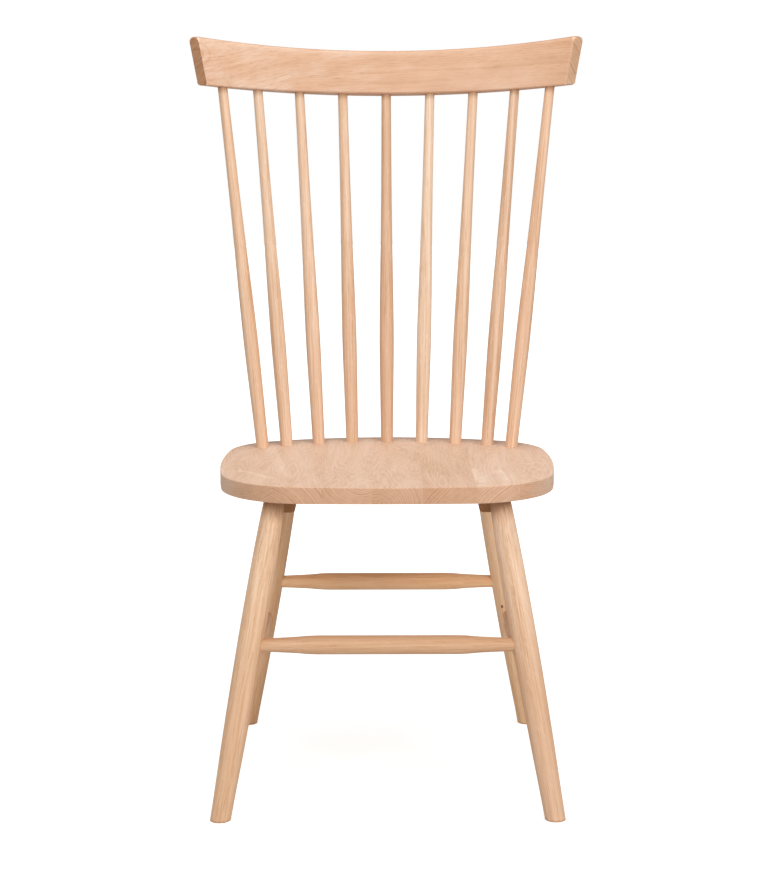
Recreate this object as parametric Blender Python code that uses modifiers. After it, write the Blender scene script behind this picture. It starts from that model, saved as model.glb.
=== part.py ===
"""Spindle-back side chair in solid oak, made as the separate pieces that go into it.

Metres, +Z up. The origin is on the floor under the middle of the chair, and the front faces -Y.
Left and right are those of someone who looks at the chair's front: left is -X, right is +X.
Legs, spindles and stretchers are turned pieces whose ends sit in blind sockets.
"""
from math import atan2, cos, hypot, pi, radians, sin, sqrt, tan

import bmesh
import bpy
from mathutils import Matrix, Vector
from mathutils.geometry import intersect_sphere_sphere_2d

# Fits
gap = 0.0003                     # left between pieces that touch
overrun = 0.010                  # how far a cutter passes the face that it opens
weld = 0.00002                   # points closer than this are one point

# Seat
seat_height = 0.450              # floor to the seat's rim
seat_width = 0.4752              # at its widest place
seat_depth = 0.4285
seat_thickness = 0.023
front_bow_radius = 2.200         # plan curve of the front edge
side_bow_radius = 0.830
rear_bow_radius = 0.440
front_corner_radius = 0.1265
rear_corner_radius = 0.1035
side_bow_setback = 0.0087        # the widest place lies this far behind the seat's middle
dish_width = 0.410
dish_length = 0.380
dish_depth = 0.008
dish_lead = 0.0375               # the dish's middle lies this far in front of the seat's
dish_cap_share = 0.6             # rim of the dish, of the radius of the ball that hollows it
board_joint_shares = (-0.6493, -0.3689, -0.0846, 0.2017, 0.5037, 0.7536)   # of half the width
seat_socket_share = 0.58         # depth of the sockets in the seat, of its thickness

# Back spindles
spindle_diameter = 0.0217        # at the thickest place, a quarter of the way up
spindle_sides = 14
spindle_inset = 0.041            # middle spindle's foot, from the rear edge of the seat
foot_arc_share = 0.726           # radius of the arc of spindle feet, of the seat's width
foot_place_shares = (0.0, 0.2213, 0.4338, 0.6335, 0.7811)             # of half the seat's width
head_place_shares = (0.0, 0.229, 0.457, 0.678, 0.866)                 # of half the crest's length
# Places from foot to head, of the length, each with its share of the diameter
spindle_profile_shares = ((0.00, 0.85), (0.06, 0.87), (0.17, 0.945), (0.28, 1.00), (0.38, 0.972),
                          (0.50, 0.885), (0.62, 0.785), (0.78, 0.717), (1.00, 0.663))

# Crest rail
back_lean = radians(12.1)
back_height = 0.5321             # seat's rim to the crest's underside, along the lean
crest_length = 0.5855            # along its bend, half way up
crest_height = 0.0665            # at the middle
crest_horn = 0.0068              # how much taller it is at its ends
crest_thickness = 0.022
crest_bend_radius = 0.695
crest_flare = radians(11.8)      # its ends lean out towards the top
crest_end_cut = radians(18.0)    # its ends are cut to face further forward than square
crest_untwist = radians(10.0)    # and stand this much straighter than its middle
crest_corner_radius = 0.0035
crest_edge_radius = 0.003
crest_stations = 28              # divisions along its bend
crest_socket_share = 0.38        # depth of the sockets in the crest, of its height

# Legs
leg_diameter = 0.0350            # at the thickest place, a little above the stretchers
leg_sides = 20
front_foot_spread = 0.4524       # between the middles of the feet
rear_foot_spread = 0.4360
front_foot_reach = 0.2450        # feet in front of the seat's middle
rear_foot_reach = 0.1985
front_head_shares = (0.6424, -0.7215)     # leg's middle at the seat, of half its width and depth
rear_head_shares = (0.6001, 0.4655)
leg_tenon_share = 0.64                    # tenon's diameter, of the leg's
# Places from foot to head, of the length, each with its share of the diameter
leg_profile_shares = ((0.00, 0.79), (0.06, 0.818), (0.13, 0.857), (0.24, 0.918), (0.38, 0.97),
                      (0.52, 0.997), (0.64, 1.00), (0.80, 0.965), (0.92, 0.89), (1.00, 0.79))

# Stretchers
stretcher_diameter = 0.0258
stretcher_sides = 16
front_stretcher_height = 0.2300
rear_stretcher_height = 0.2390
side_stretcher_drop = 0.0440     # side stretchers lie this far below the lower of the two
stretcher_end_share = 0.715      # diameter at the ends, of that at the middle
stretcher_stop_share = 0.20      # end short of the leg's middle, of the leg's radius
# Places from the leg to the middle, each with its share of the swelling
stretcher_swell_shares = ((0.12, 0.22), (0.24, 0.48), (0.34, 0.85), (0.44, 1.00), (1.00, 1.00))

# Battens under the seat
batten_width = 0.040
batten_depth = 0.026
batten_edge_radius = 0.005
batten_place_share = 0.6149      # middle of the batten, of half the seat's width
batten_leg_clearance = 0.002

# Screws through the battens
screw_head_diameter = 0.0084
screw_shank_diameter = 0.0042
screw_head_height = 0.0030
screw_bite = 0.0110              # how far it reaches into the seat
screw_sink = 0.0005              # how far its head lies below the batten's face
screw_point = 0.0040
screw_recess_depth = 0.0018
screw_place_share = 0.56         # between a batten's two screws, of its length
screw_recess_shares = (0.56, 0.16)        # the cross in the head, of the head's diameter
screw_sides = 14

# Places that follow from the sizes
half_width = seat_width / 2
half_depth = seat_depth / 2
seat_underside = seat_height - seat_thickness
leg_radius = leg_diameter / 2
foot_radius = leg_radius * leg_profile_shares[0][1]
front_slope = (front_foot_reach + front_head_shares[1] * half_depth) / seat_underside
feet_front = -front_foot_reach - foot_radius * hypot(1.0, front_slope)
crest_rear = (half_depth - spindle_inset
              + (back_height + crest_height - crest_edge_radius) * sin(back_lean)
              + (crest_thickness / 2 - crest_edge_radius) * cos(back_lean) + crest_edge_radius)
seat_middle = -(feet_front + crest_rear) / 2
spindle_foot_y = seat_middle + half_depth - spindle_inset
side_stretcher_height = min(front_stretcher_height, rear_stretcher_height) - side_stretcher_drop

# Clear the file and make the collections
for old in list(bpy.data.objects):
    bpy.data.objects.remove(old)
chair = bpy.data.collections.new("spindle_back_chair")
cutters = bpy.data.collections.new("cutters")
for collection in (chair, cutters):
    bpy.context.scene.collection.children.link(collection)
chair_root = bpy.data.objects.new("chair_root", None)
chair.objects.link(chair_root)


def oak(shade):
    """Colour of bare oak in linear light, a little lighter or darker."""
    return tuple(shade * channel for channel in (0.66, 0.43, 0.27))


def add_part(part, colour, roughness=0.55, metallic=0.0):
    """Puts a finished object in the chair with a plain material of its own."""
    material = bpy.data.materials.new(part.name)
    material.use_nodes = True
    shader = material.node_tree.nodes["Principled BSDF"]
    shader.inputs["Base Color"].default_value = (*colour, 1.0)
    shader.inputs["Roughness"].default_value = roughness
    shader.inputs["Metallic"].default_value = metallic
    material.diffuse_color = (*colour, 1.0)
    part.data.materials.append(material)
    part.parent = chair_root
    chair.objects.link(part)
    return part


def add_cutter(cutter):
    cutter.hide_render = True
    cutter.display_type = "WIRE"
    cutters.objects.link(cutter)
    return cutter


def mesh_object(name, bm):
    mesh = bpy.data.meshes.new(name)
    bm.to_mesh(mesh)
    bm.free()
    return bpy.data.objects.new(name, mesh)


def change(part, other, operation="DIFFERENCE"):
    """Cuts another object from a part, or joins or crosses the two."""
    boolean = part.modifiers.new(f"{operation.lower()} {other.name}", "BOOLEAN")
    boolean.operation = operation
    boolean.object = other


def box(name, low, high):
    low, high = Vector(low), Vector(high)
    bm = bmesh.new()
    bmesh.ops.create_cube(bm, size=1.0)
    bmesh.ops.scale(bm, vec=high - low, verts=bm.verts)
    part = mesh_object(name, bm)
    part.location = (low + high) / 2
    return part


def stand_along(part, foot, head):
    """Puts a part's own origin at foot and turns its own Z towards head."""
    turn = (head - foot).to_track_quat("Z", "Y").to_matrix().to_4x4()
    part.matrix_world = Matrix.Translation(foot) @ turn
    return part


def turned(name, profile, sides):
    """A piece turned about its own Z from (radius, height) points that run top to bottom."""
    outline = [(0.0, profile[0][1]), *profile, (0.0, profile[-1][1])]
    mesh = bpy.data.meshes.new(name)
    mesh.from_pydata([(r, 0.0, z) for r, z in outline],
                     [(i, i + 1) for i in range(len(outline) - 1)], [])
    part = bpy.data.objects.new(name, mesh)
    screw = part.modifiers.new("turn", "SCREW")
    screw.steps = screw.render_steps = sides
    screw.use_smooth_shade = True
    screw.use_merge_vertices = True
    screw.merge_threshold = weld
    return part


def rod_cutter(name, foot, head, radius, sides):
    """A round cutter from foot to head, one gap wider and longer than the end that goes in."""
    length = (head - foot).length
    profile = [(radius + gap, length + gap), (radius + gap, -gap)]
    return add_cutter(stand_along(turned(name, profile, sides), foot, head))


# Seat

def arc(middle, radius, start, end, count):
    step = (end - start) / count
    return [(middle[0] + radius * cos(start + i * step), middle[1] + radius * sin(start + i * step))
            for i in range(count + 1)]


def corner_middle(end_middle, end_radius, side_middle, radius):
    """Middle of the round corner that runs on into an end's bow and into the right side's."""
    places = intersect_sphere_sphere_2d(end_middle, end_radius - radius,
                                        side_middle, side_bow_radius - radius)
    return max(places, key=lambda place: place.x)


def heading(start, end):
    return atan2(end.y - start.y, end.x - start.x)


def seat_outline():
    """Plan of the seat about its own middle: four bowed edges and four round corners."""
    front = Vector((0.0, -half_depth + front_bow_radius))
    side = Vector((half_width - side_bow_radius, side_bow_setback))
    rear = Vector((0.0, half_depth - rear_bow_radius))
    front_corner = corner_middle(front, front_bow_radius, side, front_corner_radius)
    rear_corner = corner_middle(rear, rear_bow_radius, side, rear_corner_radius)
    turns = (-pi / 2, heading(front, front_corner), heading(side, front_corner),
             heading(side, rear_corner), heading(rear, rear_corner), pi / 2)
    right = arc(front, front_bow_radius, *turns[0:2], 5)
    right += arc(front_corner, front_corner_radius, *turns[1:3], 8)[1:]
    right += arc(side, side_bow_radius, *turns[2:4], 4)[1:]
    right += arc(rear_corner, rear_corner_radius, *turns[3:5], 7)[1:]
    right += arc(rear, rear_bow_radius, *turns[4:6], 5)[1:]
    left = [(-x, y) for x, y in reversed(right[1:-1])]
    return right + left


def seat_blank():
    """The whole seat before it is dished and divided, as a mesh about the seat's middle."""
    curve = bpy.data.curves.new("seat blank", "CURVE")
    curve.dimensions = "2D"
    curve.fill_mode = "BOTH"
    curve.extrude = seat_thickness / 2
    outline = seat_outline()
    spline = curve.splines.new("POLY")
    spline.points.add(len(outline) - 1)
    for point, (x, y) in zip(spline.points, outline):
        point.co = (x, y, 0.0, 1.0)
    spline.use_cyclic_u = True
    flat = bpy.data.objects.new("seat blank", curve)
    bpy.context.scene.collection.objects.link(flat)
    evaluated = flat.evaluated_get(bpy.context.evaluated_depsgraph_get())
    mesh = bpy.data.meshes.new_from_object(evaluated)
    bpy.data.objects.remove(flat)
    bm = bmesh.new()
    bm.from_mesh(mesh)
    bmesh.ops.remove_doubles(bm, verts=bm.verts, dist=weld)
    bmesh.ops.recalc_face_normals(bm, faces=bm.faces)
    bm.to_mesh(mesh)
    bm.free()
    return mesh


def seat_dish():
    """The ball-shaped cutter that hollows the seat's top."""
    ball_height = dish_depth / (1.0 - sqrt(1.0 - dish_cap_share ** 2))
    bm = bmesh.new()
    bmesh.ops.create_uvsphere(bm, u_segments=40, v_segments=28, radius=1.0)
    ball_size = (dish_width / 2 / dish_cap_share, dish_length / 2 / dish_cap_share, ball_height)
    bmesh.ops.scale(bm, vec=ball_size, verts=bm.verts)
    dish = mesh_object("dish", bm)
    dish.location = (0.0, seat_middle - dish_lead, seat_height + ball_height - dish_depth)
    return add_cutter(dish)


def seat_boards(sockets):
    """Seven boards side by side, each crossed from the blank, dished and bored."""
    blank = seat_blank()
    dish = seat_dish()
    joints = [-half_width - overrun, *(share * half_width for share in board_joint_shares),
              half_width + overrun]
    for number, (left, right) in enumerate(zip(joints, joints[1:]), start=1):
        board = bpy.data.objects.new(f"seat_board_{number}", blank.copy())
        board.location = (0.0, seat_middle, seat_height - seat_thickness / 2)
        slab = add_cutter(box(f"board slab {number}",
                              (left + gap / 2, seat_middle - seat_depth, 0.0),
                              (right - gap / 2, seat_middle + seat_depth, 2 * seat_height)))
        change(board, slab, "INTERSECT")
        change(board, dish)
        for socket, x, reach in sockets:
            if left - reach < x < right + reach:
                change(board, socket)
        add_part(board, oak(1.04 - 0.05 * (number % 3)))


# Crest rail

def back_point(along, back, up):
    """A place on the leaning back: along the bend, back through it, and up from the seat's rim."""
    turn = along / crest_bend_radius
    radius = crest_bend_radius + back
    behind = radius * cos(turn) - crest_bend_radius
    return Vector((radius * sin(turn),
                   spindle_foot_y + behind * cos(back_lean) + up * sin(back_lean),
                   seat_height - behind * sin(back_lean) + up * cos(back_lean)))


def crest_point(side, through, level):
    """Carries a point of the unit block, each from -1/2 to 1/2, to its place in the crest."""
    half_length = crest_length / 2 + level * crest_height * tan(crest_flare)
    half_length += through * crest_thickness * tan(crest_end_cut)
    height = crest_height + crest_horn * (2 * side) ** 2
    rise = (through + 0.5) * crest_thickness * tan(crest_untwist) * (2 * side) ** 2
    return back_point(2 * side * half_length, through * crest_thickness,
                      back_height + (level + 0.5) * height + rise)


def crest_rail(sockets):
    bm = bmesh.new()
    bmesh.ops.create_cube(bm, size=1.0)
    long_edges = [e for e in bm.edges if e.verts[0].co.x * e.verts[1].co.x < 0]
    bmesh.ops.subdivide_edges(bm, edges=long_edges, cuts=crest_stations - 1, use_grid_fill=True)
    corners = [e for e in bm.edges
               if e.verts[0].co.y * e.verts[1].co.y < 0 and abs(e.verts[0].co.x) == 0.5]
    for vert in bm.verts:
        vert.co = crest_point(*vert.co)
    bmesh.ops.bevel(bm, geom=corners, offset=crest_corner_radius, segments=3, profile=0.5,
                    affect="EDGES")
    rail = mesh_object("crest_rail", bm)
    edge = rail.modifiers.new("eased edges", "BEVEL")
    edge.width = crest_edge_radius
    edge.segments = 2
    edge.limit_method = "ANGLE"
    edge.angle_limit = radians(40.0)
    for socket in sockets:
        change(rail, socket)
    add_part(rail, oak(1.06))


# Spindles

def spindle_axis(number):
    """Foot on the seat's rim and head on the crest's underside of spindle 1 to 9."""
    place = number - len(foot_place_shares)
    side = -1 if place < 0 else 1
    foot_x = foot_place_shares[abs(place)] * half_width
    arc_radius = foot_arc_share * seat_width
    foot_y = spindle_foot_y - arc_radius + sqrt(arc_radius ** 2 - foot_x ** 2)
    head = back_point(side * head_place_shares[abs(place)] * crest_length / 2, 0.0, back_height)
    return Vector((side * foot_x, foot_y, seat_height)), head


def spindles():
    """Nine tapered spindles, and the sockets that they need in the seat and in the crest."""
    seat_sockets = []
    crest_sockets = []
    radius = spindle_diameter / 2
    foot_end = radius * spindle_profile_shares[0][1]
    head_end = radius * spindle_profile_shares[-1][1]
    foot_sink = seat_socket_share * seat_thickness
    head_sink = crest_socket_share * crest_height
    for number in range(1, 2 * len(foot_place_shares)):
        foot, head = spindle_axis(number)
        axis = (head - foot).normalized()
        clear = (head - foot).length
        profile = [(share * radius, foot_sink + at * clear) for at, share in spindle_profile_shares]
        profile = [(foot_end, 0.0), *profile, (head_end, foot_sink + clear + head_sink)]
        spindle = turned(f"spindle_{number}", profile[::-1], spindle_sides)
        add_part(stand_along(spindle, foot - foot_sink * axis, head), oak(1.0))
        seat_socket = rod_cutter(f"seat socket {number}", foot - foot_sink * axis,
                                 foot + overrun * axis, foot_end, spindle_sides)
        seat_sockets.append((seat_socket, foot.x, 2 * radius))
        crest_sockets.append(rod_cutter(f"crest socket {number}", head - overrun * axis,
                                        head + head_sink * axis, head_end, spindle_sides))
    return seat_sockets, crest_sockets


# Legs and stretchers

def leg_axis(front, side):
    """Foot and head of a leg's middle line; the head is at the seat's underside."""
    spread, reach, shares = ((front_foot_spread, -front_foot_reach, front_head_shares) if front
                             else (rear_foot_spread, rear_foot_reach, rear_head_shares))
    foot = Vector((side * spread / 2, seat_middle + reach, 0.0))
    head = Vector((side * shares[0] * half_width, seat_middle + shares[1] * half_depth,
                   seat_underside))
    return foot, head


def leg_place(front, side, height):
    """Where a leg's middle line passes a height."""
    foot, head = leg_axis(front, side)
    return foot.lerp(head, height / seat_underside)


def leg(name, front, side, sockets):
    """A turned leg, cut level at the floor and at the seat, with a round tenon on top."""
    foot, head = leg_axis(front, side)
    axis = (head - foot).normalized()
    length = (head - foot).length
    profile = [(share * leg_radius, at * length) for at, share in leg_profile_shares]
    profile = [(profile[0][0], -overrun), *profile, (profile[-1][0], length + overrun)]
    part = stand_along(turned(name, profile[::-1], leg_sides), foot, head)
    spread = leg_diameter
    below = box(f"{name} below", foot - Vector((spread, spread, 2 * overrun)),
                foot + Vector((spread, spread, 0.0)))
    above = box(f"{name} above", head - Vector((spread, spread, gap)),
                head + Vector((spread, spread, 2 * overrun)))
    change(part, add_cutter(below))
    change(part, add_cutter(above))
    tenon_radius = leg_tenon_share * leg_radius
    tenon_length = seat_socket_share * seat_thickness
    tenon = turned(f"{name} tenon", [(tenon_radius, tenon_length), (tenon_radius, -overrun)],
                   leg_sides)
    change(part, add_cutter(stand_along(tenon, head, head + axis)), "UNION")
    for socket in sockets:
        change(part, socket)
    add_part(part, oak(0.98))
    seat_socket = rod_cutter(f"{name} socket", head - overrun * axis, head + tenon_length * axis,
                             tenon_radius, leg_sides)
    return seat_socket, head.x, leg_diameter


def stretcher(name, start, end):
    """A turned stretcher between two legs' middle lines, swollen at its middle."""
    radius = stretcher_diameter / 2
    end_radius = radius * stretcher_end_share
    span = (end - start).length
    stop = stretcher_stop_share * leg_radius
    straight = leg_radius + overrun / 2
    half = [(end_radius, stop), (end_radius, straight)]
    half += [(end_radius + swell * (radius - end_radius), straight + at * (span / 2 - straight))
             for at, swell in stretcher_swell_shares]
    whole = half + [(r, span - z) for r, z in reversed(half[:-1])]
    part = stand_along(turned(name, whole[::-1], stretcher_sides), start, end)
    add_part(part, oak(0.97))
    axis = (end - start).normalized()
    return [rod_cutter(f"{name} socket {i}", at + stop * along, at + (leg_diameter + overrun) * along,
                       end_radius, stretcher_sides)
            for i, (at, along) in enumerate(((start, axis), (end, -axis)))]


def underframe():
    """Four stretchers and the four legs that hold them; gives the legs' sockets in the seat."""
    sockets = {(front, side): [] for front in (True, False) for side in (-1, 1)}
    for name, front, height in (("stretcher_front", True, front_stretcher_height),
                                ("stretcher_rear", False, rear_stretcher_height)):
        left, right = stretcher(name, leg_place(front, -1, height), leg_place(front, 1, height))
        sockets[front, -1].append(left)
        sockets[front, 1].append(right)
    for name, side in (("stretcher_left", -1), ("stretcher_right", 1)):
        fore, aft = stretcher(name, leg_place(True, side, side_stretcher_height),
                              leg_place(False, side, side_stretcher_height))
        sockets[True, side].append(fore)
        sockets[False, side].append(aft)
    return [leg(f"leg_{'front' if front else 'rear'}_{'left' if side < 0 else 'right'}",
                front, side, sockets[front, side])
            for front, side in sockets]


# Battens and their screws

def screw_profile(grow, tail):
    """Half outline of a screw that stands on its head, with room around it for the hole."""
    head = screw_head_diameter / 2 + grow
    shank = screw_shank_diameter / 2 + grow
    length = batten_depth - screw_sink + screw_bite
    point = shank / 4
    profile = [(point, length + grow), (shank, length - screw_point), (shank, screw_head_height),
               (head, 0.0)]
    return profile + ([(head, -tail)] if tail else [])


def batten(name, side):
    """A batten glued and screwed under the seat between the two legs of one side."""
    middle = side * batten_place_share * half_width
    reach = leg_radius + batten_leg_clearance
    front = leg_axis(True, side)[1].y + reach
    rear = leg_axis(False, side)[1].y - reach
    top = seat_underside - gap
    part = box(name, (middle - batten_width / 2, front, top - batten_depth),
               (middle + batten_width / 2, rear, top))
    bm = bmesh.new()
    bm.from_mesh(part.data)
    low_edges = [e for e in bm.edges
                 if e.verts[0].co.y * e.verts[1].co.y < 0 and e.verts[0].co.z < 0]
    bmesh.ops.bevel(bm, geom=low_edges, offset=batten_edge_radius, segments=3, profile=0.5,
                    affect="EDGES")
    bm.to_mesh(part.data)
    bm.free()
    holes = []
    for end, way in (("front", -1), ("rear", 1)):
        screw_y = (front + rear) / 2 + way * screw_place_share * (rear - front) / 2
        place = Vector((middle, screw_y, top - batten_depth + screw_sink))
        hole = turned(f"{name} {end} hole", screw_profile(gap, overrun), screw_sides)
        hole.location = place
        change(part, add_cutter(hole))
        holes.append((hole, middle, batten_width))
        batten_screw(f"batten_screw_{end}_{'left' if side < 0 else 'right'}", place)
    add_part(part, oak(0.94))
    return holes


def batten_screw(name, place):
    """A countersunk screw that stands on its head, with a cross in the head."""
    screw = turned(name, screw_profile(0.0, 0.0), screw_sides)
    screw.location = place
    long, thin = (share * screw_head_diameter / 2 for share in screw_recess_shares)
    for i, (x, y) in enumerate(((long, thin), (thin, long))):
        bar = box(f"{name} recess {i}", place + Vector((-x, -y, -overrun)),
                  place + Vector((x, y, screw_recess_depth)))
        change(screw, add_cutter(bar))
    add_part(screw, (0.62, 0.58, 0.50), roughness=0.35, metallic=1.0)


spindle_sockets, crest_sockets = spindles()
leg_sockets = underframe()
screw_holes = batten("batten_left", -1) + batten("batten_right", 1)
crest_rail(crest_sockets)
seat_boards(spindle_sockets + leg_sockets + screw_holes)
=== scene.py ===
"""The looks of a spindle-back side chair in bare oak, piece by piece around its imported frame.

Metres, +Z up. The chair faces -Y, and left is -X, as someone who looks at its front sees it.
"""
from math import atan2, cos, pi, radians, sin, sqrt, tan

import bmesh
import bpy
from mathutils import Matrix, Vector
from mathutils.geometry import intersect_sphere_sphere_2d


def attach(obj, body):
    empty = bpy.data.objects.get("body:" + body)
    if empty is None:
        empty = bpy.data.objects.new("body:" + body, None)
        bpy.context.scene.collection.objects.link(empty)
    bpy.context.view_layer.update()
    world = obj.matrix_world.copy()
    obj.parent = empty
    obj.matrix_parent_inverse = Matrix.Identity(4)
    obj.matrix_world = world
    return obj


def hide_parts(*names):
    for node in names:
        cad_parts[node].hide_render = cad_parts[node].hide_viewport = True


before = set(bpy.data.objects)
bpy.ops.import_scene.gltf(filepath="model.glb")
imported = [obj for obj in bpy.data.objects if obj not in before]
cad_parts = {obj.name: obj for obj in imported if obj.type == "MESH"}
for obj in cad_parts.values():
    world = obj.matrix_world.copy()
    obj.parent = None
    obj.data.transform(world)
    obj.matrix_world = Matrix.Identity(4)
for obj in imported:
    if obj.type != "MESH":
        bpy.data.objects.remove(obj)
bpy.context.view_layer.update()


# Camera
# The photograph was taken from chest height, almost three metres in front of the chair, with a
# long lens that looks slightly down on the seat.

camera_place = (-0.0025, -2.88315, 0.9393)
camera_down = radians(8.994)
camera_turn = radians(-0.150)
camera_roll = radians(-0.095)
camera_film_width = 36.0
camera_lens_length = 83.6

camera_data = bpy.data.cameras.new("camera")
camera_data.sensor_width = camera_film_width
camera_data.lens = camera_lens_length
camera = bpy.data.objects.new("camera", camera_data)
camera.matrix_world = (Matrix.Translation(camera_place)
                       @ Matrix.Rotation(camera_turn, 4, "Z")
                       @ Matrix.Rotation(pi / 2 - camera_down, 4, "X")
                       @ Matrix.Rotation(camera_roll, 4, "Z"))
bpy.context.scene.collection.objects.link(camera)
bpy.context.scene.camera = camera


# Seat
# Seven oak boards, 23 mm thick, glued edge to edge with their grain from front to back, sawn to
# a rounded outline, hollowed 8 mm for the sitter and sanded. The rear edge is rounded over more
# than the front one. Each board comes from its own place in a log, so their figures differ.

seat_height = 0.450
seat_width = 0.4752
seat_depth = 0.4285
seat_thickness = 0.023
seat_middle = -0.02489
seat_underside = seat_height - seat_thickness
front_bow_radius = 2.200
side_bow_radius = 0.830
rear_bow_radius = 0.440
side_bow_setback = 0.0087
front_corner_radius = 0.1265
rear_corner_radius = 0.1035
bow_steps = 16
side_steps = 12
front_corner_steps = 28
rear_corner_steps = 24
board_joints = (-0.1543, -0.0877, -0.0201, 0.0479, 0.1197, 0.1790)
glue_line = 0.00005


def arc(middle, radius, start, end, steps):
    step = (end - start) / steps
    return [(Vector((middle.x + radius * cos(turn), middle.y + radius * sin(turn))),
             Vector((cos(turn), sin(turn))))
            for turn in (start + i * step for i in range(steps + 1))]


def corner_middle(end_middle, end_radius, side_middle, radius):
    """Middle of the round corner that runs on into an end's bow and into the right side's."""
    places = intersect_sphere_sphere_2d(end_middle, end_radius - radius,
                                        side_middle, side_bow_radius - radius)
    return max(places, key=lambda place: place.x)


def heading(start, end):
    return atan2(end.y - start.y, end.x - start.x)


def seat_outline():
    """Plan of the seat about its own middle, as points with the directions that face out there."""
    front = Vector((0.0, -seat_depth / 2 + front_bow_radius))
    side = Vector((seat_width / 2 - side_bow_radius, side_bow_setback))
    rear = Vector((0.0, seat_depth / 2 - rear_bow_radius))
    front_corner = corner_middle(front, front_bow_radius, side, front_corner_radius)
    rear_corner = corner_middle(rear, rear_bow_radius, side, rear_corner_radius)
    turns = (-pi / 2, heading(front, front_corner), heading(side, front_corner),
             heading(side, rear_corner), heading(rear, rear_corner), pi / 2)
    right = arc(front, front_bow_radius, *turns[0:2], bow_steps)
    right += arc(front_corner, front_corner_radius, *turns[1:3], front_corner_steps)[1:]
    right += arc(side, side_bow_radius, *turns[2:4], side_steps)[1:]
    right += arc(rear_corner, rear_corner_radius, *turns[3:5], rear_corner_steps)[1:]
    right += arc(rear, rear_bow_radius, *turns[4:6], bow_steps)[1:]
    left = [(Vector((-p.x, p.y)), Vector((-out.x, out.y))) for p, out in reversed(right[1:-1])]
    return right + left


dish_width = 0.410
dish_length = 0.380
dish_depth = 0.008
dish_lead = 0.0375
dish_fall_off = 1.2


def dish(x, y):
    """How deep the hollow is at a place about the seat's middle."""
    reach = (x / (dish_width / 2)) ** 2 + ((y + dish_lead) / (dish_length / 2)) ** 2
    return dish_depth * max(0.0, 1.0 - reach) ** dish_fall_off


def loft(bm, loops):
    """Closes the surface through loops of points, with a point at each end."""
    rows = [[bm.verts.new(p) for p in loop] for loop in loops]
    for low, high in zip(rows, rows[1:]):
        count = max(len(low), len(high))
        for i in range(count):
            j = (i + 1) % count
            if len(low) == 1:
                bm.faces.new((low[0], high[j], high[i]))
            elif len(high) == 1:
                bm.faces.new((low[i], low[j], high[0]))
            else:
                bm.faces.new((low[i], low[j], high[j], high[i]))


lower_edge_radius = 0.0009
front_edge_radius = 0.0016
rear_edge_radius = 0.0024
edge_change = 3.2
underside_shares = (0.4, 0.8)
lower_edge_steps = 5
upper_edge_steps = 6
top_steps = 34


def whole_seat():
    """The seat in one piece, from the middle of its underside round its edge to its top's."""
    outline = seat_outline()

    def lower_ring(turn, share=1.0):
        inset = lower_edge_radius * (1.0 - sin(turn))
        height = seat_underside + lower_edge_radius * (1.0 - cos(turn))
        places = [(p - inset * out) * share for p, out in outline]
        return [(at.x, seat_middle + at.y, height) for at in places]

    def upper_ring(turn, share=1.0):
        loop = []
        for p, out in outline:
            rearward = min(1.0, max(0.0, 0.5 + edge_change * p.y / seat_depth))
            radius = front_edge_radius + (rear_edge_radius - front_edge_radius) * rearward
            at = (p - radius * (1.0 - cos(turn)) * out) * share
            height = seat_height - radius * (1.0 - sin(turn)) - dish(at.x, at.y)
            loop.append((at.x, seat_middle + at.y, height))
        return loop

    loops = [[(0.0, seat_middle, seat_underside)]]
    loops += [lower_ring(0.0, share) for share in underside_shares]
    loops += [lower_ring(i / lower_edge_steps * pi / 2) for i in range(lower_edge_steps + 1)]
    loops += [upper_ring(i / upper_edge_steps * pi / 2) for i in range(upper_edge_steps + 1)]
    loops += [upper_ring(pi / 2, 1.0 - i / top_steps) for i in range(1, top_steps)]
    loops.append([(0.0, seat_middle, seat_height - dish(0.0, 0.0))])
    bm = bmesh.new()
    loft(bm, loops)
    return bm


sharp_corner = radians(40.0)


def finished(name, bm, nodes, material):
    """Makes a piece from its mesh and gives it its part in the chair."""
    mesh = bpy.data.meshes.new(name)
    bm.to_mesh(mesh)
    bm.free()
    mesh.shade_smooth()
    mesh.set_sharp_from_angle(angle=sharp_corner)
    mesh.materials.append(material)
    piece = bpy.data.objects.new(name, mesh)
    bpy.context.scene.collection.objects.link(piece)
    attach(piece, "root")
    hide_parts(*nodes)


def add_node(tree, kind, inputs=None, **settings):
    made = tree.nodes.new("ShaderNode" + kind)
    for key, value in settings.items():
        setattr(made, key, value)
    for key, value in (inputs or {}).items():
        if isinstance(value, bpy.types.NodeSocket):
            tree.links.new(value, made.inputs[key])
        else:
            made.inputs[key].default_value = value
    return made


def reckon(tree, operation, *values):
    return add_node(tree, "Math", dict(enumerate(values)), operation=operation).outputs[0]


def times(tree, first, *others):
    for other in others:
        first = reckon(tree, "MULTIPLY", first, other)
    return first


def all_but(tree, share):
    """What a share leaves over of the whole."""
    return reckon(tree, "SUBTRACT", 1.0, share)


def between(tree, share, low, high):
    """Low for a share of 0, and high for a share of 1."""
    return reckon(tree, "MULTIPLY_ADD", share, high - low, low)


def reckon_vector(tree, operation, *values):
    return add_node(tree, "VectorMath", dict(enumerate(values)), operation=operation).outputs[0]


def measure(tree, operation, *vectors):
    """The single number that comes of vectors, such as a length."""
    made = add_node(tree, "VectorMath", dict(enumerate(vectors)), operation=operation)
    return made.outputs["Value"]


def resized(tree, vector, amount):
    made = add_node(tree, "VectorMath", {0: vector, "Scale": amount}, operation="SCALE")
    return made.outputs[0]


def parts(tree, vector):
    return add_node(tree, "SeparateXYZ", {0: vector}).outputs


def joined(tree, *values):
    return add_node(tree, "CombineXYZ", dict(enumerate(values))).outputs[0]


def surface(tree, what):
    """Where the surface lies, for Object, or which way it faces, for Normal."""
    return add_node(tree, "TexCoord").outputs[what]


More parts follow.
